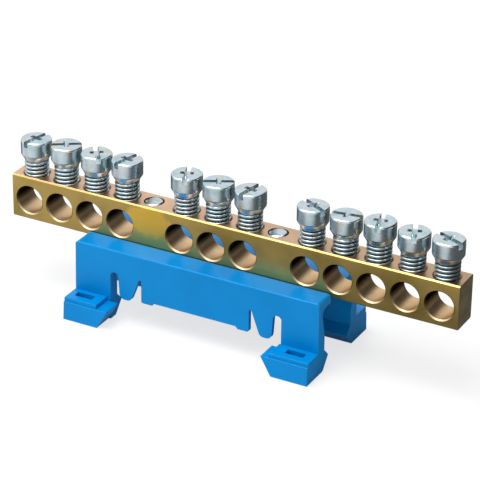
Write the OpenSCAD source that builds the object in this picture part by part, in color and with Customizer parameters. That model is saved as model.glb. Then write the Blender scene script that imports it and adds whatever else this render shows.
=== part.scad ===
// Terminal bar for earth or neutral wires: a drilled brass bar with one clamp screw over each wire
// entry, held by two screws on a moulded plastic holder that snaps onto a 35 mm mounting rail.
// Millimetres. +X runs along the bar, +Y to its back, +Z up. The origin lies under the middle of
// the bar, on the level that the holder's feet stand on.

/* [Bar] */
// Width of the bar's section, front to back
bar_width = 6; // [5.5:0.5:9]
// Height of the bar's section
bar_height = 9; // [8.5:0.5:12]
// Bevel along the bar's long edges
bar_bevel = 0.25; // [0.1:0.05:0.4]
// Number of wire entries in the left group
ways_left = 4; // [2:1:6]
// Number of wire entries in the middle group
ways_middle = 3; // [3:1:5]
// Number of wire entries in the right group
ways_right = 5; // [2:1:8]
// Distance between neighbouring wire entries
way_pitch = 6.8; // [6.5:0.1:9]
// Distance between the wire entries on either side of a fixing screw
gap_pitch = 13; // [12:0.5:18]
// Distance from each end of the bar to its nearest wire entry
end_margin = 3.8; // [3.4:0.1:8]

/* [Wire entries] */
// Diameter of a wire entry
entry_diameter = 5.6; // [4.9:0.1:6]
// Height of the wire entries above the bar's underside
entry_height = 4.1; // [3.6:0.1:5]
// Bevel round the mouths of a wire entry
entry_bevel = 0.25; // [0.1:0.05:0.3]

/* [Clamp screws] */
// Outer diameter of the clamp screws' thread
clamp_thread = 4.8; // [4:0.1:5]
// Diameter of the clamp screws' heads
clamp_head = 6.1; // [5.4:0.1:6.4]
// Height of the cylindrical part of the heads, with the rounding above it
clamp_head_height = 3; // [2.2:0.1:5]
// Rounding round the top of the heads
clamp_head_rounding = 0.7; // [0.2:0.1:1]
// Height of the conical neck between thread and head
clamp_neck = 1.1; // [0.6:0.1:2]
// Length of thread that stands out of the bar
clamp_lift = 3.4; // [1:0.1:6]
// Length of thread inside the bar
clamp_grip = 1.8; // [1:0.1:2]
// Width of the driver slot
slot_width = 1; // [0.6:0.1:1.2]
// Depth of the driver slot below the top of the head
slot_depth = 1.1; // [0.6:0.1:1.5]
// Diameter of the cross recess in the middle of the slot
cross_diameter = 3.6; // [2.4:0.1:4.2]
// Depth of the cross recess below the top of the head
cross_depth = 1.9; // [1:0.1:2.1]

/* [Fixing screws] */
// Outer diameter of the fixing screws' thread
fixing_thread = 3.9; // [3:0.1:4.2]
// Length of the fixing screws below their heads
fixing_length = 12; // [11:0.5:13]
// How far the fixing screws' ends stand out of the top of the bar
fixing_proud = 0.15; // [0:0.05:0.5]
// Diameter of the fixing screws' heads
fixing_head = 7.5; // [6:0.1:8]
// Height of the fixing screws' heads
fixing_head_height = 2.4; // [2:0.1:3]
// Distance from the middle of each gap to its fixing screw, along the bar
fixing_offset = -0.6; // [-0.8:0.1:0.8]

/* [Rail and hooks] */
// Width of the mounting rail that the holder snaps onto
rail_width = 35; // [32:0.5:40]
// Thickness of the mounting rail's edges
rail_thickness = 1; // [0.8:0.1:1.5]
// Space between the rail's edge and the hook's leg at each side
rail_side_clearance = 0.9; // [0.3:0.1:1.5]
// How far the left hooks reach under the rail's edge
hook_bite_left = 0.75; // [0.3:0.05:1.5]
// How far the right hooks reach under the rail's edge
hook_bite_right = 1.1; // [0.3:0.05:1.5]
// Height of the rail's underside above the level of the feet
hook_height = 3.8; // [3:0.05:5]
// Width of each leg, along the bar
leg_width = 7.7; // [7:0.1:12]
// How far the lower edge of a hook slopes back past its leg
hook_lead = 0.4; // [0:0.1:1.5]

/* [Feet] */
// Distance across the feet, from the lower front edge to the lower back edge
foot_span = 25.4; // [24.5:0.1:30]
// How far a foot's face leans in towards its top
foot_lean = 0.2; // [0:0.05:0.6]
// Distance between the inner lower edges of the front and the back feet
sole_gap = 12.2; // [11:0.1:13]
// Height of the pads on top of the front feet
pad_height_front = 0.8; // [0.5:0.05:1.5]
// Height of the pads on top of the back feet
pad_height_back = 1.4; // [0.5:0.05:2]
// How far the pad's face is set back from the foot's face
pad_setback = 0.3; // [0.1:0.05:0.6]
// How far the left pads stop short of their leg's inner edge
pad_step_left = 0.8; // [-0.3:0.1:1.5]
// How far the right pads stop short of their leg's inner edge, or run past it if negative
pad_step_right = -0.3; // [-0.3:0.1:1.5]
// Length of the pocket that a driver is put in to free the hook
pocket_length = 3.8; // [2:0.1:4]
// Width of the pocket
pocket_width = 1.5; // [0.8:0.1:1.6]
// Depth of the pocket
pocket_depth = 1.5; // [0.5:0.1:3]
// Distance from the middle of the pad to the middle of the pocket, towards the holder's end
pocket_shift = 0.35; // [0:0.05:0.5]
// Distance from the holder's body to the pocket
pocket_setoff = 1.1; // [0.6:0.1:1.3]
// Distance between the inner tips of the front and the back barb
barb_gap = 7.7; // [6.5:0.1:8.5]
// Height of the inner tips above the level of the feet
barb_height = 2.65; // [2:0.05:3]

/* [Holder body] */
// Width of the holder's body, front to back
body_width = 16; // [15.5:0.1:19]
// Height of the bar's underside above the level of the feet
seat_height = 14; // [13.5:0.1:18]
// Depth of the seat that the bar lies in
seat_depth = 0.9; // [0.5:0.1:2]
// Space between the bar and each side of its seat
seat_clearance = 0.25; // [0.05:0.05:0.6]
// Thickness of the holder below the bar
seat_floor = 0.9; // [0.8:0.1:1.6]
// Thickness of the middle walls and of the spring tongues
wall_thin = 0.9; // [0.7:0.1:1.2]
// Thickness of the legs where they meet the top
wall_top = 1.2; // [1:0.1:1.8]
// Thickness of the legs above the barbs
wall_foot = 2.5; // [2.2:0.05:2.9]
// Height above the level of the feet from which the legs get thinner
taper_height = 7.2; // [5:0.5:9]
// Rounding between the walls and the top, inside
inner_rounding = 1.2; // [0.5:0.1:1.6]
// How far each end of the holder leans out towards its feet
end_draft = 0.15; // [0:0.05:0.3]
// Rounding of the holder's upper corners
corner_rounding = 0.6; // [0.2:0.1:1]
// Diameter of the bosses that the fixing screws' heads bear on
boss_diameter = 8.4; // [8:0.1:9]

/* [Spring tongues] */
// Width of the slot between each leg and its tongue
tongue_slot = 1.7; // [1:0.1:2.5]
// Width of a tongue at its root
tongue_root = 4.6; // [3.6:0.1:5.5]
// Width of a tongue at its tip
tongue_tip = 2.4; // [1.6:0.1:3.2]
// Length of a tongue
tongue_length = 5.3; // [4:0.05:6.5]
// Width of the notch between a tongue and the middle wall, at its top
notch_width = 0.5; // [0.3:0.1:1]
// How much lower the notch ends than the slot
notch_drop = 0.3; // [0:0.05:0.6]
// Distance from the rail to the tongues' tips
tongue_gap = 0.15; // [0:0.05:0.5]
// Distance from the rail to the lower edge of the middle wall
wall_gap = 0.95; // [0.6:0.1:2]
// Height of the bumps at the ends of the middle wall's lower edge
bump_height = 0.5; // [0.2:0.1:0.6]
// Length of the bumps
bump_length = 2.4; // [1:0.1:4]

/* [Hidden] */
$fn = 64;

// How the clamp screws were left, one by one: directions of their driver slots, in degrees from
// the bar's length, and how much further out or in each one stands
slot_turns = [78, 34, 127, 75, 110, 28, 80, 152, 10, 103, 111, 157];
lift_steps = [-0.25, 0, -0.15, 0.05, 0.15, 0.05, 0.05, -0.05, -0.25, 0.2, -0.25, 0];

// Radial clearances: clamp screw in its hole, fixing screw in the bar, fixing screw in the holder
clamp_clearance = 0.05;
fixing_clearance = 0.05;
holder_hole_clearance = 0.25;
// Countersink on top of each clamp hole, and bevel on the ends of the screws
screw_bevel = 0.3;
// Cuts run this far past the faces that they open
cut = 1;

// Roundings of the moulding: long upper edges, pads and ledges, outer and inner edges of the soles,
// barbs, hook tips, notches, middle walls
edge_rounding = 0.3;
pad_rounding = 0.1;
foot_rounding = 0.15;
sole_rounding = 0.3;
barb_rounding = 0.2;
tip_rounding = 0.1;
notch_rounding = 0.2;
wall_rounding = 0.4;
// How far the outer edge of a tongue leans in towards its tip, and the run-in of a bump
tongue_lean = 0.35;
bump_run = 0.4;

ways = ways_left + ways_middle + ways_right;
bar_length = 2 * end_margin + (ways - 3) * way_pitch + 2 * gap_pitch;
bar_top = seat_height + bar_height;
entry_z = seat_height + entry_height;

// Distance of each wire entry from the bar's left end: a new group starts after each gap
function gaps_before(i) = (i >= ways_left ? 1 : 0) + (i >= ways_left + ways_middle ? 1 : 0);
function entry_x(i) =
    -bar_length / 2 + end_margin + i * way_pitch + gaps_before(i) * (gap_pitch - way_pitch);

fixing_left_x = entry_x(ways_left - 1) + gap_pitch / 2 + fixing_offset;
fixing_right_x = entry_x(ways_left + ways_middle - 1) + gap_pitch / 2 + fixing_offset;
holder_x = (fixing_left_x + fixing_right_x) / 2;

clamp_tip_z = bar_top - clamp_grip;
clamp_neck_z = bar_top + clamp_lift;
clamp_top_z = clamp_neck_z + clamp_neck + clamp_head_height;

fixing_end_z = bar_top + fixing_proud;
fixing_head_z = fixing_end_z - fixing_length;

// Levels of the holder
holder_top = seat_height + seat_depth;
plate_under = seat_height - seat_floor;
tongue_tip_z = hook_height + rail_thickness + tongue_gap;
tongue_root_z = tongue_tip_z + tongue_length;
notch_z = tongue_root_z - notch_drop;
wall_low_z = hook_height + rail_thickness + wall_gap;

// Distances from the holder's middle, along the bar
leg_inner = rail_width / 2 + rail_side_clearance;
holder_end = leg_inner + leg_width;
tongue_outer = leg_inner - tongue_slot;
tongue_inner = tongue_outer - tongue_root;
wall_end = tongue_inner - notch_width;

CLAMP_SCREWS = [for (i = [1:ways]) str("clamp_screw_", i)];

// A corner [x, y, r] between its neighbours becomes an arc of radius r, or stays sharp at r = 0
arc_steps = 6;
function unit(v) = v / norm(v);
function flat(p) = [p[0], p[1]];
function turned(angle) = angle > 180 ? angle - 360 : (angle < -180 ? angle + 360 : angle);
function corner(before, here, after) =
    here[2] == 0 ? [flat(here)] :
    let (
        back = unit(flat(before) - flat(here)),
        ahead = unit(flat(after) - flat(here)),
        half = acos(back * ahead) / 2,
        centre = flat(here) + unit(back + ahead) * here[2] / sin(half),
        from = flat(here) + back * here[2] / tan(half) - centre,
        to = flat(here) + ahead * here[2] / tan(half) - centre,
        start = atan2(from[1], from[0]),
        sweep = turned(atan2(to[1], to[0]) - start)
    )
    [for (s = [0:arc_steps]) centre + here[2] * [cos(start + sweep * s / arc_steps),
                                                sin(start + sweep * s / arc_steps)]];
function rounded(points) =
    let (n = len(points))
    [for (i = [0:n - 1]) each corner(points[(i + n - 1) % n], points[i], points[(i + 1) % n])];

module both_sides(direction) {
    children();
    mirror(direction) children();
}

// The bar: drawn brass with the wire entries drilled from the front and the screw holes from above
module bar_section() {
    b = bar_bevel;
    w = bar_width / 2;
    polygon([[-w + b, 0], [w - b, 0], [w, b], [w, bar_height - b],
             [w - b, bar_height], [-w + b, bar_height], [-w, bar_height - b], [-w, b]]);
}

module wire_entry(x) {
    translate([x, 0, entry_z]) rotate([90, 0, 0]) {
        cylinder(h = bar_width + 2 * cut, d = entry_diameter, center = true);
        both_sides([0, 0, 1])
            translate([0, 0, bar_width / 2 - entry_bevel])
                cylinder(h = 2 * entry_bevel, d1 = entry_diameter, d2 = entry_diameter + 4 * entry_bevel);
    }
}

module clamp_hole(x) {
    hole = clamp_thread + 2 * clamp_clearance;
    translate([x, 0, entry_z])
        cylinder(h = bar_top - entry_z + cut, d = hole);
    translate([x, 0, bar_top - screw_bevel])
        cylinder(h = 2 * screw_bevel, d1 = hole, d2 = hole + 4 * screw_bevel);
}

module fixing_hole(x) {
    translate([x, 0, seat_height - cut])
        cylinder(h = bar_height + 2 * cut, d = fixing_thread + 2 * fixing_clearance);
}

module bar() {
    color("darkgoldenrod")
    difference() {
        translate([-bar_length / 2, 0, seat_height])
            rotate([90, 0, 90]) linear_extrude(bar_length) bar_section();
        for (i = [0:ways - 1]) {
            wire_entry(entry_x(i));
            clamp_hole(entry_x(i));
        }
        fixing_hole(fixing_left_x);
        fixing_hole(fixing_right_x);
    }
}

// A cross recess that narrows to a point, standing on its mouth at z = 0 and reaching down
module cross_recess(diameter, depth, wing) {
    intersection() {
        translate([0, 0, -depth]) cylinder(h = depth + cut, d1 = wing, d2 = diameter);
        union() {
            cube([diameter + cut, wing, 2 * depth + cut], center = true);
            cube([wing, diameter + cut, 2 * depth + cut], center = true);
        }
    }
}

// Clamp screw: threaded shank, conical neck and a small cheese head with a slot and a cross recess
module clamp_screw(i) {
    shank = clamp_thread / 2;
    head = clamp_head / 2;
    bevel = screw_bevel;
    color("lightsteelblue")
    translate([entry_x(i), 0, lift_steps[i % len(lift_steps)]])
    difference() {
        rotate_extrude()
            polygon(rounded([[0, clamp_tip_z, 0], [shank - bevel, clamp_tip_z, 0],
                             [shank, clamp_tip_z + bevel, 0], [shank, clamp_neck_z, 0],
                             [head, clamp_neck_z + clamp_neck, 0],
                             [head, clamp_top_z, clamp_head_rounding], [0, clamp_top_z, 0]]));
        translate([0, 0, clamp_top_z]) rotate([0, 0, slot_turns[i % len(slot_turns)]]) {
            translate([-clamp_head, -slot_width / 2, -slot_depth])
                cube([2 * clamp_head, slot_width, slot_depth + cut]);
            cross_recess(cross_diameter, cross_depth, slot_width);
        }
    }
}

// Fixing screw: it is driven from below, through the holder into the tapped hole in the bar
module fixing_screw(x) {
    shank = fixing_thread / 2;
    head = fixing_head / 2;
    low = fixing_head_z - fixing_head_height;
    color("silver")
    translate([x, 0, 0])
    difference() {
        rotate_extrude()
            polygon(rounded([[0, low, 0], [head, low, fixing_head_height / 2], [head, fixing_head_z, 0],
                             [shank, fixing_head_z, 0], [shank, fixing_end_z - screw_bevel, 0],
                             [shank - screw_bevel, fixing_end_z, 0], [0, fixing_end_z, 0]]));
        translate([0, 0, low]) mirror([0, 0, 1])
            cross_recess(cross_diameter, fixing_head_height / 2, slot_width);
    }
}

// Half of the legs' section across the bar: from its middle outwards, down the leg and in to the barb
module half_leg_section() {
    outer = body_width / 2;
    inner = outer - wall_foot;
    barb = barb_gap / 2;
    polygon(rounded([[0, holder_top, 0], [outer, holder_top, edge_rounding], [outer, 0, 0],
                     [sole_gap / 2, 0, sole_rounding], [barb, barb_height, barb_rounding],
                     [inner, barb_height + inner - barb, barb_rounding], [inner, taper_height, 0],
                     [outer - wall_top, plate_under, inner_rounding], [0, plate_under, 0]]));
}

// Half of the hollow between the thin walls that join the legs
module half_hollow() {
    inner = body_width / 2 - wall_thin;
    polygon(rounded([[0, plate_under, 0], [inner, plate_under, inner_rounding],
                     [inner, -cut, 0], [0, -cut, 0]]));
}

// Half of the body's outline seen from the front: leg, slot, spring tongue, notch and middle wall
module half_outline() {
    tip_outer = tongue_outer - tongue_lean;
    tip_inner = tip_outer - tongue_tip;
    slot_rounding = 0.49 * tongue_slot;
    tongue_rounding = 0.45 * tongue_tip;
    polygon(rounded([[0, holder_top, 0], [holder_end, holder_top, corner_rounding],
                     [holder_end + end_draft, 0, 0], [leg_inner, 0, 0],
                     [leg_inner, tongue_root_z, slot_rounding],
                     [tongue_outer, tongue_root_z, slot_rounding],
                     [tip_outer, tongue_tip_z, tongue_rounding],
                     [tip_inner, tongue_tip_z, tongue_rounding],
                     [tongue_inner, notch_z, notch_rounding],
                     [wall_end, notch_z, notch_rounding],
                     [wall_end, wall_low_z - bump_height, wall_rounding],
                     [wall_end - bump_length, wall_low_z - bump_height, notch_rounding],
                     [wall_end - bump_length - bump_run, wall_low_z, notch_rounding],
                     [0, wall_low_z, 0]]));
}

module along_bar(length) {
    rotate([90, 0, 90]) linear_extrude(length, center = true) both_sides([1, 0, 0]) children();
}

module holder_body() {
    difference() {
        intersection() {
            along_bar(2 * (holder_end + end_draft + cut)) half_leg_section();
            rotate([90, 0, 0])
                linear_extrude(body_width + 2 * cut, center = true)
                    both_sides([1, 0, 0]) half_outline();
        }
        along_bar(2 * leg_inner) half_hollow();
    }
}

// Foot on the front of the right leg: the hook under the rail, and a pad with a pocket on it
module foot(bite, step, pad_height) {
    pad_top = hook_height + pad_height;
    lean = end_draft * (1 - pad_top / holder_top);
    root = body_width / 2;
    face = foot_span / 2;
    ledge = face - foot_lean;
    pad = ledge - pad_setback;
    hook_tip = rail_width / 2 - bite;
    pad_inner = leg_inner + step;
    pocket_middle = (pad_inner + holder_end) / 2 + pocket_shift;
    difference() {
        intersection() {
            rotate([90, 0, 90])
                linear_extrude(holder_end + end_draft + cut)
                    polygon(rounded([[-root, 0, 0], [-root, pad_top, 0],
                                     [-pad, pad_top, pad_rounding], [-pad, hook_height, 0],
                                     [-ledge, hook_height, pad_rounding],
                                     [-face, 0, foot_rounding]]));
            rotate([90, 0, 0])
                linear_extrude(face + cut)
                    polygon(rounded([[holder_end + end_draft, 0, 0], [holder_end + lean, pad_top, 0],
                                     [pad_inner, pad_top, pad_rounding], [pad_inner, hook_height, 0],
                                     [hook_tip, hook_height, tip_rounding],
                                     [leg_inner + hook_lead, 0, foot_rounding]]));
        }
        translate([pocket_middle - pocket_length / 2, -root - pocket_setoff - pocket_width,
                   pad_top - pocket_depth])
            cube([pocket_length, pocket_width, pocket_depth + cut]);
    }
}

module feet(pad_height) {
    foot(hook_bite_right, pad_step_right, pad_height);
    mirror([1, 0, 0]) foot(hook_bite_left, pad_step_left, pad_height);
}

// Rail holder: one moulding with a seat for the bar, and with hooks and spring tongues for the rail
module rail_holder() {
    seat_width = bar_width + 2 * seat_clearance;
    color("dodgerblue")
    difference() {
        union() {
            translate([holder_x, 0, 0]) {
                holder_body();
                feet(pad_height_front);
                mirror([0, 1, 0]) feet(pad_height_back);
            }
            for (x = [fixing_left_x, fixing_right_x])
                translate([x, 0, fixing_head_z])
                    cylinder(h = seat_height - fixing_head_z, d = boss_diameter);
        }
        // The bar's seat: its floor ends at the legs, and past them the bar lies between two ledges
        translate([holder_x - holder_end - cut, -seat_width / 2, seat_height])
            cube([2 * holder_end + 2 * cut, seat_width, seat_depth + cut]);
        translate([holder_x, 0, 0]) both_sides([1, 0, 0])
            translate([leg_inner, -seat_width / 2, plate_under - cut])
                cube([leg_width + end_draft + cut, seat_width, seat_floor + 2 * cut]);
        for (x = [fixing_left_x, fixing_right_x])
            translate([x, 0, fixing_head_z - cut])
                cylinder(h = fixing_length + 2 * cut, d = fixing_thread + 2 * holder_hole_clearance);
    }
}

bar();
rail_holder();
for (i = [0:ways - 1])
    clamp_screw(i);
fixing_screw(fixing_left_x);  // fixing_screw_left
fixing_screw(fixing_right_x);  // fixing_screw_right
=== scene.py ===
from math import cos, pi, radians, sin
import bmesh
import bpy
from mathutils import Matrix, Vector


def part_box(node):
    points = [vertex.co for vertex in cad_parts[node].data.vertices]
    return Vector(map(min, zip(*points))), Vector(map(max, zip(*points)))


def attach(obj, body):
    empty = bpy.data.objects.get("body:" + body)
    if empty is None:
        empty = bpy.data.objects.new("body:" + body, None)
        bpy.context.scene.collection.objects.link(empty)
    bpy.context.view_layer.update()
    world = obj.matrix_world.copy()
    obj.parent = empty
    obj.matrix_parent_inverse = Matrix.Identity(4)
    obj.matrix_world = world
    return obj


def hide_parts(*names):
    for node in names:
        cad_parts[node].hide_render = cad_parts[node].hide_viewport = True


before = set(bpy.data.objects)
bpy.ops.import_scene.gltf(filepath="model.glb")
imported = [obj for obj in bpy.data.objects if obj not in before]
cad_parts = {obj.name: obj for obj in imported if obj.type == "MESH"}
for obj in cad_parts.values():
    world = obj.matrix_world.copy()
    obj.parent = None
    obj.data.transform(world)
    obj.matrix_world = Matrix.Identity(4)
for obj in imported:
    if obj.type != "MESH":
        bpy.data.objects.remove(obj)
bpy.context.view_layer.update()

# ---- Camera --------------------------------------------------------------------------------------
# A product view from the right of the bar and above it, turned a little about its own axis.
scene = bpy.context.scene
scene.view_settings.view_transform = "Standard"

azimuth, elevation, roll = radians(27.92), radians(26.90), radians(0.85)
aim, distance = Vector((0.00127, 0.0, 0.01943)), 0.4635
back = Vector((sin(azimuth) * cos(elevation), -cos(azimuth) * cos(elevation), sin(elevation)))
right = (-back).cross(Vector((0, 0, 1))).normalized()
up = right.cross(-back)
right, up = cos(roll) * right + sin(roll) * up, cos(roll) * up - sin(roll) * right
camera_data = bpy.data.cameras.new("camera")
camera_data.sensor_width = 36
camera_data.lens = 185.18
camera_data.clip_start = 0.01
camera = bpy.data.objects.new("camera", camera_data)
camera.matrix_world = (Matrix.Translation(aim + back * distance)
                       @ Matrix((right, up, back)).transposed().to_4x4())
scene.collection.objects.link(camera)
scene.camera = camera

# ---- Studio --------------------------------------------------------------------------------------
# A white table, with a soft box above and a weaker one at the left, and white card all round. The
# table stays white to the eye and in the metal wherever no shadow falls on it.
world = bpy.data.worlds.new("studio")
scene.world = world
world.use_nodes = True
world_nodes, world_links = world.node_tree.nodes, world.node_tree.links
card = world_nodes["Background"]
card.inputs["Color"].default_value = (1, 1, 1, 1)
card.inputs["Strength"].default_value = 0.50
plain_white = world_nodes.new("ShaderNodeBackground")
plain_white.inputs["Color"].default_value = (1, 1, 1, 1)
plain_white.inputs["Strength"].default_value = 1.0
world_path = world_nodes.new("ShaderNodeLightPath")
seen = world_nodes.new("ShaderNodeMath")
seen.operation = "MAXIMUM"
seen_or_mirrored = world_nodes.new("ShaderNodeMath")
seen_or_mirrored.operation = "MAXIMUM"
pick = world_nodes.new("ShaderNodeMixShader")
world_links.new(world_path.outputs["Is Camera Ray"], seen.inputs[0])
world_links.new(world_path.outputs["Is Transmission Ray"], seen.inputs[1])
world_links.new(seen.outputs[0], seen_or_mirrored.inputs[0])
world_links.new(world_path.outputs["Is Glossy Ray"], seen_or_mirrored.inputs[1])
world_links.new(seen_or_mirrored.outputs[0], pick.inputs[0])
world_links.new(card.outputs[0], pick.inputs[1])
world_links.new(plain_white.outputs[0], pick.inputs[2])
world_links.new(pick.outputs[0], world_nodes["World Output"].inputs["Surface"])


def soft_box(name, place, target, width, height, power):
    data = bpy.data.lights.new(name, "AREA")
    data.shape = "RECTANGLE"
    data.size, data.size_y = width, height
    data.energy = power
    lamp = bpy.data.objects.new(name, data)
    lamp.location = place
    lamp.rotation_euler = (Vector(target) - Vector(place)).to_track_quat("-Z", "Y").to_euler()
    scene.collection.objects.link(lamp)


soft_box("lamp_above", (-0.10, -0.10, 0.45), (0, 0, 0.015), 0.40, 0.30, 2.4)
soft_box("lamp_left", (-0.40, -0.25, 0.20), (0, 0, 0.015), 0.25, 0.25, 0.35)

floor_mesh = bpy.data.meshes.new("floor")
floor_half = 1.5
floor_mesh.from_pydata([(-floor_half, -floor_half, 0), (floor_half, -floor_half, 0),
                        (floor_half, floor_half, 0), (-floor_half, floor_half, 0)],
                       [], [(0, 1, 2, 3)])
floor = bpy.data.objects.new("floor", floor_mesh)
scene.collection.objects.link(floor)
table_white = bpy.data.materials.new("table_white")
table_white.use_nodes = True
table_nodes, table_links = table_white.node_tree.nodes, table_white.node_tree.links
table_nodes["Principled BSDF"].inputs["Base Color"].default_value = (0.94, 0.94, 0.94, 1)
table_nodes["Principled BSDF"].inputs["Roughness"].default_value = 0.9
table_nodes["Principled BSDF"].inputs["Specular IOR Level"].default_value = 0.0
table_glow = table_nodes.new("ShaderNodeEmission")
table_path = table_nodes.new("ShaderNodeLightPath")
table_seen = table_nodes.new("ShaderNodeMath")
table_seen.operation = "MAXIMUM"
table_share = table_nodes.new("ShaderNodeMath")
table_share.operation = "MULTIPLY"
table_share.inputs[1].default_value = 0.72
table_mix = table_nodes.new("ShaderNodeMixShader")
table_links.new(table_path.outputs["Is Camera Ray"], table_seen.inputs[0])
table_links.new(table_path.outputs["Is Glossy Ray"], table_seen.inputs[1])
table_links.new(table_seen.outputs[0], table_share.inputs[0])
table_links.new(table_share.outputs[0], table_mix.inputs[0])
table_links.new(table_nodes["Principled BSDF"].outputs[0], table_mix.inputs[1])
table_links.new(table_glow.outputs[0], table_mix.inputs[2])
table_links.new(table_mix.outputs[0], table_nodes["Material Output"].inputs["Surface"])
floor_mesh.materials.append(table_white)

# A dark mat lies on the table for the metal to mirror. Only reflections show it, and in front of
# the bar it fades out towards the left.
mat_thickness, mat_darkness = 0.0002, 0.92
mat_mesh = bpy.data.meshes.new("dark_mat")
mat_corners = [(-0.16, -0.052), (0.05, -0.052), (0.50, -0.20), (0.50, 0.16), (-0.16, 0.16)]
mat_mesh.from_pydata([(x, y, mat_thickness) for x, y in mat_corners], [], [(0, 1, 2, 3, 4)])
mat = bpy.data.objects.new("dark_mat", mat_mesh)
scene.collection.objects.link(mat)
mat.visible_camera = mat.visible_diffuse = mat.visible_transmission = mat.visible_shadow = False
mat_cloth = bpy.data.materials.new("mat_cloth")
mat_cloth.use_nodes = True
mat_nodes, mat_links = mat_cloth.node_tree.nodes, mat_cloth.node_tree.links
mat_nodes["Principled BSDF"].inputs["Base Color"].default_value = (0.02, 0.025, 0.025, 1)
mat_nodes["Principled BSDF"].inputs["Roughness"].default_value = 0.9
mat_place = mat_nodes.new("ShaderNodeTexCoord")
mat_axes = mat_nodes.new("ShaderNodeSeparateXYZ")
mat_fade = mat_nodes.new("ShaderNodeMapRange")
mat_fade.inputs["From Min"].default_value = -0.12
mat_fade.inputs["From Max"].default_value = -0.01
mat_fade.inputs["To Max"].default_value = mat_darkness
mat_behind = mat_nodes.new("ShaderNodeMapRange")
mat_behind.inputs["From Min"].default_value = -0.005
mat_behind.inputs["From Max"].default_value = 0.012
mat_behind.inputs["To Max"].default_value = mat_darkness
mat_darker = mat_nodes.new("ShaderNodeMath")
mat_darker.operation = "MAXIMUM"
mat_links.new(mat_place.outputs["Object"], mat_axes.inputs[0])
mat_links.new(mat_axes.outputs["X"], mat_fade.inputs["Value"])
mat_links.new(mat_axes.outputs["Y"], mat_behind.inputs["Value"])
mat_links.new(mat_fade.outputs["Result"], mat_darker.inputs[0])
mat_links.new(mat_behind.outputs["Result"], mat_darker.inputs[1])
mat_links.new(mat_darker.outputs[0], mat_nodes["Principled BSDF"].inputs["Alpha"])
mat_mesh.materials.append(mat_cloth)

# A dark card stands at the right and behind. It holds the light back from there and shows in the
# metal, so that the wire entries are dark on their left.
shade_mesh = bpy.data.meshes.new("dark_card")
shade_mesh.from_pydata([(0.16, -0.13, 0.02), (0.16, 0.12, 0.02), (0.06, 0.28, 0.02),
                        (0.06, 0.28, 0.30), (0.16, 0.12, 0.30), (0.16, -0.13, 0.16)],
                       [], [(0, 1, 4, 5), (1, 2, 3, 4)])
shade = bpy.data.objects.new("dark_card", shade_mesh)
scene.collection.objects.link(shade)
shade.visible_camera = shade.visible_transmission = False
card_black = bpy.data.materials.new("card_black")
card_black.use_nodes = True
card_surface = card_black.node_tree.nodes["Principled BSDF"]
card_surface.inputs["Base Color"].default_value = (0.02, 0.02, 0.02, 1)
card_surface.inputs["Roughness"].default_value = 0.9
shade_mesh.materials.append(card_black)

# ---- Rail holder ---------------------------------------------------------------------------------
# One moulding in blue polyamide, the satin skin of the tool on every face. It snaps onto the rail
# with its hooks and spring tongues, and the bar lies in the seat between its two long ledges.
def shaded(name):
    material = bpy.data.materials.new(name)
    material.use_nodes = True
    return material, material.node_tree.nodes["Principled BSDF"]


def node(material, kind, **settings):
    made = material.node_tree.nodes.new(kind)
    for key, value in settings.items():
        setattr(made, key, value)
    return made


def link(material, source, target):
    material.node_tree.links.new(source, target)


def noise(material, scale, detail=3.0, stretch=(1, 1, 1)):
    place = node(material, "ShaderNodeTexCoord")
    mapping = node(material, "ShaderNodeMapping")
    mapping.inputs["Scale"].default_value = stretch
    texture = node(material, "ShaderNodeTexNoise")
    texture.inputs["Scale"].default_value = scale
    texture.inputs["Detail"].default_value = detail
    link(material, place.outputs["Object"], mapping.inputs["Vector"])
    link(material, mapping.outputs["Vector"], texture.inputs["Vector"])
    return texture.outputs["Fac"]


def ramp(material, value, stops):
    made = node(material, "ShaderNodeValToRGB")
    elements = made.color_ramp.elements
    while len(elements) < len(stops):
        elements.new(0.5)
    for element, (position, colour) in zip(elements, stops):
        element.position = position
        element.color = (*colour, 1)
    link(material, value, made.inputs["Fac"])
    return made.outputs["Color"]


def between(material, value, low, high):
    made = node(material, "ShaderNodeMapRange")
    made.inputs["To Min"].default_value = low
    made.inputs["To Max"].default_value = high
    link(material, value, made.inputs["Value"])
    return made.outputs["Result"]


def bump(material, principled, value, height):
    made = node(material, "ShaderNodeBump")
    made.inputs["Strength"].default_value = 1.0
    made.inputs["Distance"].default_value = height
    link(material, value, made.inputs["Height"])
    link(material, made.outputs["Normal"], principled.inputs["Normal"])


def applied(piece):
    """The piece's mesh with its modifiers in it, which are then removed from the piece."""
    evaluated = piece.evaluated_get(bpy.context.evaluated_depsgraph_get())
    mesh = bpy.data.meshes.new_from_object(evaluated)
    piece.modifiers.clear()
    return mesh


def rounded_copy(cad_node, name, radius):
    """The CAD node's solid as one welded mesh with its sharp edges rounded."""
    sharp = radians(32)
    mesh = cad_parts[cad_node].data.copy()
    work = bmesh.new()
    work.from_mesh(mesh)
    bmesh.ops.remove_doubles(work, verts=work.verts, dist=1e-6)
    bmesh.ops.dissolve_limit(work, angle_limit=radians(0.5), verts=work.verts, edges=work.edges)
    for edge in work.edges:
        edge.smooth = len(edge.link_faces) == 2 and edge.calc_face_angle() < sharp
    work.to_mesh(mesh)
    work.free()
    mesh.materials.clear()
    piece = bpy.data.objects.new(name, mesh)
    scene.collection.objects.link(piece)
    rounding = piece.modifiers.new("rounding", "BEVEL")
    rounding.width = radius
    rounding.segments = 2
    rounding.limit_method = "ANGLE"
    rounding.angle_limit = sharp
    rounding.use_clamp_overlap = True
    rounding.harden_normals = True
    piece.data = applied(piece)
    return piece


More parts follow.
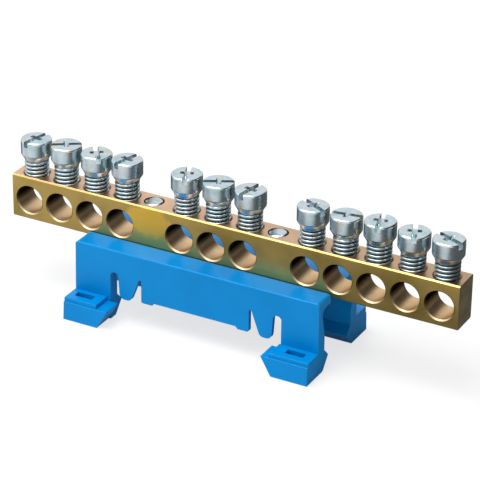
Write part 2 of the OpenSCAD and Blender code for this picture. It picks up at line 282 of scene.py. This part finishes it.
blue_plastic, skin = shaded("blue_plastic")
skin.inputs["Roughness"].default_value = 0.28
skin.inputs["Specular IOR Level"].default_value = 0.32
skin.inputs["Specular Tint"].default_value = (0.45, 0.82, 1.0, 1)
flow = ramp(blue_plastic, noise(blue_plastic, 90, 3),
            [(0.3, (0.0, 0.205, 0.54)), (0.7, (0.0, 0.236, 0.60))])
link(blue_plastic, flow, skin.inputs["Base Color"])
bump(blue_plastic, skin, noise(blue_plastic, 2500, 4), 0.000006)

holder = rounded_copy("rail_holder", "rail_holder_moulding", 0.00010)
holder.data.materials.append(blue_plastic)
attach(holder, "bar_and_holder")
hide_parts("rail_holder")

# ---- Bar -----------------------------------------------------------------------------------------
# Drawn brass, cut to length and drilled: the drawn faces are brushed along the bar and dull from
# handling, the sawn ends are greyer, and the drilled wire entries are bright below, with painted
# shade on their upper walls. The top face has a painted sheen, and painted shade towards the
# right end.
drawn_brass, drawn = shaded("drawn_brass")
drawn.inputs["Metallic"].default_value = 1.0
handled = ramp(drawn_brass, noise(drawn_brass, 70, 4),
               [(0.32, (0.40, 0.28, 0.075)), (0.50, (0.56, 0.40, 0.13)),
                (0.66, (0.66, 0.44, 0.12))])
bar_low, bar_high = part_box("bar")
along_axes = node(drawn_brass, "ShaderNodeSeparateXYZ")
link(drawn_brass, node(drawn_brass, "ShaderNodeTexCoord").outputs["Object"], along_axes.inputs[0])
# The top face gets a paler, pinker colour of its own: a painted sheen of the light from above, in
# random blotches.
on_top = node(drawn_brass, "ShaderNodeMapRange")
on_top.inputs["From Min"].default_value = bar_high[2] - 0.00008
on_top.inputs["From Max"].default_value = bar_high[2] - 0.00002
link(drawn_brass, along_axes.outputs["Z"], on_top.inputs["Value"])
painted_top_sheen = node(drawn_brass, "ShaderNodeMix", data_type="RGBA")
# Towards the bar's right end the top is darkened: painted shade in place of the screws' shadows.
along_bar = node(drawn_brass, "ShaderNodeMapRange")
along_bar.inputs["From Min"].default_value = -0.005
along_bar.inputs["From Max"].default_value = bar_high[0]
along_bar.inputs["To Max"].default_value = 0.75
link(drawn_brass, along_axes.outputs["X"], along_bar.inputs["Value"])
top_painted_shade = node(drawn_brass, "ShaderNodeMix", data_type="RGBA")
top_painted_shade.inputs["B"].default_value = (0.40, 0.27, 0.15, 1)
link(drawn_brass, along_bar.outputs["Result"], top_painted_shade.inputs["Factor"])
blotchy_top_sheen = ramp(drawn_brass, noise(drawn_brass, 160, 3),
               [(0.35, (0.56, 0.37, 0.25)), (0.6, (0.70, 0.46, 0.31))])
link(drawn_brass, blotchy_top_sheen, top_painted_shade.inputs["A"])
link(drawn_brass, top_painted_shade.outputs["Result"], painted_top_sheen.inputs["B"])
link(drawn_brass, on_top.outputs["Result"], painted_top_sheen.inputs["Factor"])

# One patch on the front, above the left fixing screw's thread, has kept its golden colour.
gap_low, gap_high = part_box("fixing_screw_left")
patch_middle = ((gap_low[0] + gap_high[0]) / 2, bar_low[1], bar_high[2] - 0.0028)
patch_reach = (0.0052, 0.0040, 0.0034)
patch_place = node(drawn_brass, "ShaderNodeMapping")
patch_place.inputs["Location"].default_value = [-m / r for m, r in zip(patch_middle, patch_reach)]
patch_place.inputs["Scale"].default_value = [1 / r for r in patch_reach]
link(drawn_brass, node(drawn_brass, "ShaderNodeTexCoord").outputs["Object"],
     patch_place.inputs["Vector"])
patch_distance = node(drawn_brass, "ShaderNodeVectorMath", operation="LENGTH")
link(drawn_brass, patch_place.outputs[0], patch_distance.inputs[0])
patch_ragged = node(drawn_brass, "ShaderNodeMath", operation="ADD")
link(drawn_brass, patch_distance.outputs["Value"], patch_ragged.inputs[0])
link(drawn_brass, between(drawn_brass, noise(drawn_brass, 420, 4), -0.5, 0.5),
     patch_ragged.inputs[1])
in_patch = node(drawn_brass, "ShaderNodeMapRange", interpolation_type="SMOOTHSTEP")
in_patch.inputs["From Min"].default_value = 0.75
in_patch.inputs["From Max"].default_value = 1.1
in_patch.inputs["To Min"].default_value = 1.0
in_patch.inputs["To Max"].default_value = 0.0
link(drawn_brass, patch_ragged.outputs[0], in_patch.inputs["Value"])
golden = node(drawn_brass, "ShaderNodeMix", data_type="RGBA")
golden.inputs["B"].default_value = (0.92, 0.58, 0.10, 1)
link(drawn_brass, in_patch.outputs["Result"], golden.inputs["Factor"])
link(drawn_brass, handled, golden.inputs["A"])
link(drawn_brass, golden.outputs["Result"], painted_top_sheen.inputs["A"])
link(drawn_brass, painted_top_sheen.outputs["Result"], drawn.inputs["Base Color"])
brushed = noise(drawn_brass, 1200, 3, (0.05, 1, 1))
link(drawn_brass, between(drawn_brass, noise(drawn_brass, 220, 4), 0.24, 0.42),
     drawn.inputs["Roughness"])
bump(drawn_brass, drawn, brushed, 0.000008)

drilled_brass, drilled = shaded("drilled_brass")
drilled.inputs["Metallic"].default_value = 1.0
clean_bore = ramp(drilled_brass, noise(drilled_brass, 300, 3),
                  [(0.3, (0.74, 0.53, 0.31)), (0.7, (0.86, 0.65, 0.42))])
bore_facing = node(drilled_brass, "ShaderNodeSeparateXYZ")
link(drilled_brass, node(drilled_brass, "ShaderNodeNewGeometry").outputs["True Normal"],
     bore_facing.inputs[0])
# Bore walls that face down are darkened to near black: painted shade in the upper part of each wire
# entry.
painted_shade_overhead = node(drilled_brass, "ShaderNodeMapRange", interpolation_type="SMOOTHSTEP")
painted_shade_overhead.inputs["From Min"].default_value = -0.25
painted_shade_overhead.inputs["From Max"].default_value = 1.1
link(drilled_brass, bore_facing.outputs["Z"], painted_shade_overhead.inputs["Value"])
bore_painted_shade = node(drilled_brass, "ShaderNodeMix", data_type="RGBA")
bore_painted_shade.inputs["A"].default_value = (0.05, 0.035, 0.015, 1)
link(drilled_brass, painted_shade_overhead.outputs["Result"], bore_painted_shade.inputs["Factor"])
link(drilled_brass, clean_bore, bore_painted_shade.inputs["B"])
link(drilled_brass, bore_painted_shade.outputs["Result"], drilled.inputs["Base Color"])
link(drilled_brass, bore_painted_shade.outputs["Result"], drilled.inputs["Specular Tint"])
link(drilled_brass, between(drilled_brass, noise(drilled_brass, 900, 3, (1, 0.1, 1)), 0.34, 0.50),
     drilled.inputs["Roughness"])
bump(drilled_brass, drilled, noise(drilled_brass, 3000, 2, (1, 0.15, 1)), 0.000006)

sawn_brass, sawn = shaded("sawn_brass")
sawn.inputs["Metallic"].default_value = 1.0
sawn_colour = ramp(sawn_brass, noise(sawn_brass, 260, 4),
                   [(0.3, (0.41, 0.34, 0.18)), (0.7, (0.66, 0.57, 0.33))])
link(sawn_brass, sawn_colour, sawn.inputs["Base Color"])
link(sawn_brass, between(sawn_brass, noise(sawn_brass, 700, 3, (1, 0.1, 1)), 0.38, 0.55),
     sawn.inputs["Roughness"])
bump(sawn_brass, sawn, noise(sawn_brass, 1500, 3, (1, 0.08, 1)), 0.00002)

bar = rounded_copy("bar", "bar_brass", 0.00006)
for finish in (drawn_brass, drilled_brass, sawn_brass):
    bar.data.materials.append(finish)
drawn_index, drilled_index, sawn_index = range(3)
on_face, off_end, off_bottom, off_top = 0.00002, 0.0004, 0.00035, 0.00005
for face in bar.data.polygons:
    x, y, z = face.center
    at_end = bar_high[0] - abs(x) < on_face
    in_hole = (bar_high[0] - abs(x) > off_end and bar_high[1] - abs(y) > on_face
               and off_bottom < z - bar_low[2] < bar_high[2] - bar_low[2] - off_top)
    face.material_index = sawn_index if at_end else drilled_index if in_hole else drawn_index
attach(bar, "bar_and_holder")
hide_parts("bar")

# ---- Clamp screws --------------------------------------------------------------------------------
# Twelve steel screws with rolled M5 threads, bright zinc plate with a faint blue tint. Each has a
# small cheese head with a driver slot and a cross recess, and stands as it was last turned.
def tree(name, inputs):
    made = bpy.data.node_groups.new(name, "GeometryNodeTree")
    made.is_modifier = True
    for label, kind in inputs:
        made.interface.new_socket(label, in_out="INPUT", socket_type="NodeSocket" + kind)
    made.interface.new_socket("Geometry", in_out="OUTPUT", socket_type="NodeSocketGeometry")
    inputs_node, output_node = made.nodes.new("NodeGroupInput"), made.nodes.new("NodeGroupOutput")
    return made, inputs_node.outputs, output_node.inputs[0]


def put(group, kind, inputs=None, **settings):
    made = group.nodes.new(kind)
    for key, value in settings.items():
        setattr(made, key, value)
    for key, value in (inputs or {}).items():
        if isinstance(value, bpy.types.NodeSocket):
            group.links.new(value, made.inputs[key])
        else:
            made.inputs[key].default_value = value
    return made


def calc(group, operation, *values):
    return put(group, "ShaderNodeMath", dict(enumerate(values)), operation=operation).outputs[0]


def solid_box(group, width, depth, low, high):
    """A block on the screw's axis, from one height up to another."""
    size = put(group, "ShaderNodeCombineXYZ",
               {0: width, 1: depth, 2: calc(group, "SUBTRACT", high, low)})
    block = put(group, "GeometryNodeMeshCube", {"Size": size.outputs[0]})
    middle = calc(group, "MULTIPLY", calc(group, "ADD", low, high), 0.5)
    raised = put(group, "ShaderNodeCombineXYZ", {2: middle})
    return put(group, "GeometryNodeTransform",
               {"Geometry": block.outputs[0], "Translation": raised.outputs[0]}).outputs[0]


# The screw is its profile swept round the axis, with the thread cut in where the profile says so.
# The slot and the cross are cut from the head, whose top lies at height 0 until it is placed.
screw, given, result = tree("screw", [
    ("Profile", "Object"), ("Rows", "Int"), ("Columns", "Int"), ("Pitch", "Float"),
    ("Thread Depth", "Float"), ("Head Diameter", "Float"), ("Slot Width", "Float"),
    ("Slot Depth", "Float"), ("Cross Diameter", "Float"), ("Cross Depth", "Float"),
    ("Turn", "Float"), ("Tilt", "Float"), ("Place", "Vector"), ("Material", "Material")])
columns, last_row = given["Columns"], calc(screw, "SUBTRACT", given["Rows"], 1)
sheet = put(screw, "GeometryNodeMeshGrid",
            {"Size X": columns, "Size Y": last_row, "Vertices Y": given["Rows"],
             "Vertices X": calc(screw, "ADD", columns, 1)})
position = put(screw, "GeometryNodeInputPosition").outputs[0]
on_sheet = put(screw, "ShaderNodeSeparateXYZ", {0: position})
row = calc(screw, "ADD", on_sheet.outputs["Y"], calc(screw, "MULTIPLY", last_row, 0.5))
turns = calc(screw, "ADD", calc(screw, "DIVIDE", on_sheet.outputs["X"], columns), 0.5)
profile_mesh = put(screw, "GeometryNodeObjectInfo", {"Object": given["Profile"]})
sampled = put(screw, "GeometryNodeSampleIndex",
              {"Geometry": profile_mesh.outputs["Geometry"], "Index": calc(screw, "ROUND", row),
               "Value": position}, data_type="FLOAT_VECTOR")
at_row = put(screw, "ShaderNodeSeparateXYZ", {0: sampled.outputs[0]})
along = calc(screw, "FRACT", calc(screw, "SUBTRACT", calc(screw, "DIVIDE", at_row.outputs["Z"],
                                                        given["Pitch"]), turns))
from_crest = calc(screw, "ABSOLUTE", calc(screw, "SUBTRACT", calc(screw, "MULTIPLY", along, 2), 1))
groove = put(screw, "ShaderNodeMapRange", {"Value": from_crest, "From Min": 0.3, "From Max": 0.95},
             interpolation_type="SMOOTHSTEP")
cut_in = calc(screw, "MULTIPLY", calc(screw, "MULTIPLY", groove.outputs[0], at_row.outputs["Y"]),
              given["Thread Depth"])
radius = calc(screw, "SUBTRACT", at_row.outputs["X"], cut_in)
angle = calc(screw, "MULTIPLY", turns, 2 * pi)
swept = put(screw, "ShaderNodeCombineXYZ", {
    0: calc(screw, "MULTIPLY", radius, calc(screw, "COSINE", angle)),
    1: calc(screw, "MULTIPLY", radius, calc(screw, "SINE", angle)), 2: at_row.outputs["Z"]})
# The groove share is stored for the zinc's painted shade in the thread roots.
rooted = put(screw, "GeometryNodeStoreNamedAttribute",
             {"Geometry": sheet.outputs["Mesh"], "Name": "thread_root",
              "Value": calc(screw, "MULTIPLY", groove.outputs[0], at_row.outputs["Y"])},
             data_type="FLOAT", domain="POINT")
body = put(screw, "GeometryNodeSetPosition",
           {"Geometry": rooted.outputs[0], "Position": swept.outputs[0]})
closed = put(screw, "GeometryNodeMergeByDistance", {"Geometry": body.outputs[0], "Distance": 1e-6})

above = 0.001
slot_length = calc(screw, "MULTIPLY", given["Head Diameter"], 1.2)
slot_cut = solid_box(screw, slot_length, given["Slot Width"],
                     calc(screw, "MULTIPLY", given["Slot Depth"], -1), above)
cross_floor = calc(screw, "MULTIPLY", given["Cross Depth"], -1)
cone = put(screw, "GeometryNodeMeshCone",
           {"Vertices": 24, "Radius Top": calc(screw, "MULTIPLY", given["Cross Diameter"], 0.5),
            "Radius Bottom": calc(screw, "MULTIPLY", given["Slot Width"], 0.5),
            "Depth": calc(screw, "ADD", given["Cross Depth"], above)})
cone_place = put(screw, "ShaderNodeCombineXYZ", {2: cross_floor})
cone = put(screw, "GeometryNodeTransform",
           {"Geometry": cone.outputs["Mesh"], "Translation": cone_place.outputs[0]}).outputs[0]
below = calc(screw, "MULTIPLY", cross_floor, 1.1)
wings = []
for size in [(given["Cross Diameter"], given["Slot Width"]),
             (given["Slot Width"], given["Cross Diameter"])]:
    wing = put(screw, "GeometryNodeMeshBoolean", operation="INTERSECT", solver="EXACT")
    for part in (cone, solid_box(screw, *size, below, 2 * above)):
        screw.links.new(part, wing.inputs["Mesh 2"])
    wings.append(wing.outputs["Mesh"])
headed = put(screw, "GeometryNodeMeshBoolean", {"Mesh 1": closed.outputs[0]},
             operation="DIFFERENCE", solver="EXACT")
for part in [slot_cut] + wings:
    screw.links.new(part, headed.inputs["Mesh 2"])
marked = put(screw, "GeometryNodeStoreNamedAttribute",
             {"Geometry": headed.outputs["Mesh"], "Name": "bevel_weight_edge",
              "Value": headed.outputs["Intersecting Edges"]}, data_type="FLOAT", domain="EDGE")
facing = put(screw, "ShaderNodeCombineXYZ", {0: given["Tilt"], 2: given["Turn"]})
placed = put(screw, "GeometryNodeTransform",
             {"Geometry": marked.outputs[0], "Translation": given["Place"],
              "Rotation": facing.outputs[0]})
real = put(screw, "GeometryNodeRealizeInstances", {"Geometry": placed.outputs[0]})
coated = put(screw, "GeometryNodeSetMaterial",
             {"Geometry": real.outputs[0], "Material": given["Material"]})
screw.links.new(coated.outputs[0], result)


def swept_screw(name, profile, mouth_rounding, **sizes):
    """One screw made by the tree from (radius, share of thread, height) points, tip to head."""
    outline = bpy.data.meshes.new(name + "_profile")
    outline.from_pydata(profile, [(k, k + 1) for k in range(len(profile) - 1)], [])
    outline = bpy.data.objects.new(name + "_profile", outline)
    piece = bpy.data.objects.new(name, bpy.data.meshes.new(name))
    scene.collection.objects.link(piece)
    sweep = piece.modifiers.new("screw", "NODES")
    sweep.node_group = screw
    values = {"Profile": outline, "Rows": len(profile), "Columns": 60, "Material": zinc, **sizes}
    for socket in screw.interface.items_tree:
        if socket.in_out == "INPUT":
            sweep[socket.identifier] = values[socket.name]
    mouths = piece.modifiers.new("mouths", "BEVEL")
    mouths.width = mouth_rounding
    mouths.segments = 2
    mouths.limit_method = "WEIGHT"
    piece.data = applied(piece)
    bpy.data.objects.remove(outline)
    piece.data.shade_smooth()
    piece.data.set_sharp_from_angle(angle=radians(55))
    return piece


def threaded(crest, low, high, pitch):
    """Profile points up a thread, with a bevelled start and a run-out at its upper end."""
    bevel, run_out, rows_per_turn = 0.0004, 0.0004, 12
    count = round((high - low) / pitch * rows_per_turn)
    points = []
    for k in range(count + 1):
        z = low + (high - low) * k / count
        points.append((min(crest, crest - bevel + (z - low)), min(1, (high - z) / run_out), z))
    return points


def quarter(radius, rounding, steps=6):
    """Profile points round the upper edge of a head, whose top is at height 0."""
    return [(radius - rounding + rounding * cos(pi / 2 * k / steps), 0,
             -rounding + rounding * sin(pi / 2 * k / steps)) for k in range(steps + 1)]


zinc, plate = shaded("zinc_plate")
plate.inputs["Metallic"].default_value = 1.0
plate_tint = ramp(zinc, noise(zinc, 420, 2),
                  [(0.30, (0.40, 0.54, 0.52)), (0.45, (0.50, 0.62, 0.68)),
                   (0.55, (0.58, 0.65, 0.70)), (0.70, (0.55, 0.57, 0.51))])
# The thread's grooves are darkened by the stored groove share: painted shade in the thread roots.
root = node(zinc, "ShaderNodeAttribute", attribute_name="thread_root")
thread_root_painted_shade = node(zinc, "ShaderNodeMix", data_type="RGBA")
thread_root_painted_shade.inputs["B"].default_value = (0.10, 0.15, 0.165, 1)
link(zinc, root.outputs["Fac"], thread_root_painted_shade.inputs["Factor"])
link(zinc, plate_tint, thread_root_painted_shade.inputs["A"])
link(zinc, thread_root_painted_shade.outputs["Result"], plate.inputs["Base Color"])
link(zinc, between(zinc, noise(zinc, 900, 4), 0.18, 0.28), plate.inputs["Roughness"])
bump(zinc, plate, noise(zinc, 1500, 3), 0.000003)

clamp_length, clamp_head_low, clamp_neck = 0.0093, -0.003, 0.0011
clamp_thread, clamp_head, clamp_pitch = 0.0024, 0.00305, 0.0008
clamp_profile = [(0, 0, -clamp_length)]
clamp_profile += threaded(clamp_thread, -clamp_length, clamp_head_low - clamp_neck, clamp_pitch)
# Points close to the head's lower and upper edge keep its side and its top flat in the shading.
clamp_profile += [(clamp_head - inward, 0, z) for inward, z in
                  [(0.00008, clamp_head_low - 0.00014), (0.00002, clamp_head_low - 0.00003),
                   (0, clamp_head_low + 0.00004), (0, clamp_head_low + 0.00015), (0, -0.0005)]]
clamp_profile += quarter(clamp_head, 0.0004) + [(0.0025, 0, 0), (0, 0, 0)]
# Directions of the driver slots, in degrees from the bar's length, as in the CAD source.
slot_turns = [78, 34, 127, 75, 110, 28, 80, 152, 10, 103, 111, 157]
for number, slot_turn in enumerate(slot_turns, 1):
    node_name = "clamp_screw_%d" % number
    low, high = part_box(node_name)
    clamp = swept_screw(node_name + "_threaded", clamp_profile, 0.00030,
                        **{"Pitch": clamp_pitch, "Thread Depth": 0.00044,
                           "Head Diameter": 2 * clamp_head,
                           "Slot Width": 0.001, "Slot Depth": 0.0011, "Cross Diameter": 0.0036,
                           "Cross Depth": 0.0019, "Turn": radians(slot_turn), "Tilt": 0.0,
                           "Place": ((low[0] + high[0]) / 2, 0.0, high[2])})
    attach(clamp, node_name)
    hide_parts(node_name)

# ---- Fixing screws -------------------------------------------------------------------------------
# Two zinc plated M4 pan head screws, driven from below through the holder into tapped holes in the
# bar. Their ends come just through its top, in the gaps between the groups of wire entries.
fixing_thread, fixing_head, fixing_head_height, fixing_pitch = 0.00195, 0.00375, 0.0024, 0.0007
for side in ("left", "right"):
    node_name = "fixing_screw_" + side
    low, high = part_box(node_name)
    length = high[2] - low[2]
    fixing_profile = [(0, 0, -length)]
    fixing_profile += threaded(fixing_thread, -length, -fixing_head_height, fixing_pitch)
    fixing_profile += quarter(fixing_head, fixing_head_height / 2) + [(0.0024, 0, 0), (0, 0, 0)]
    fixing = swept_screw(node_name + "_threaded", fixing_profile, 0.0001,
                         **{"Pitch": fixing_pitch, "Thread Depth": 0.00036,
                            "Head Diameter": 2 * fixing_head,
                            "Slot Width": 0.001, "Slot Depth": -0.0005, "Cross Diameter": 0.0036,
                            "Cross Depth": 0.0012, "Turn": 0.0, "Tilt": pi,
                            "Place": ((low[0] + high[0]) / 2, 0.0, low[2])})
    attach(fixing, "bar_and_holder")
    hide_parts(node_name)
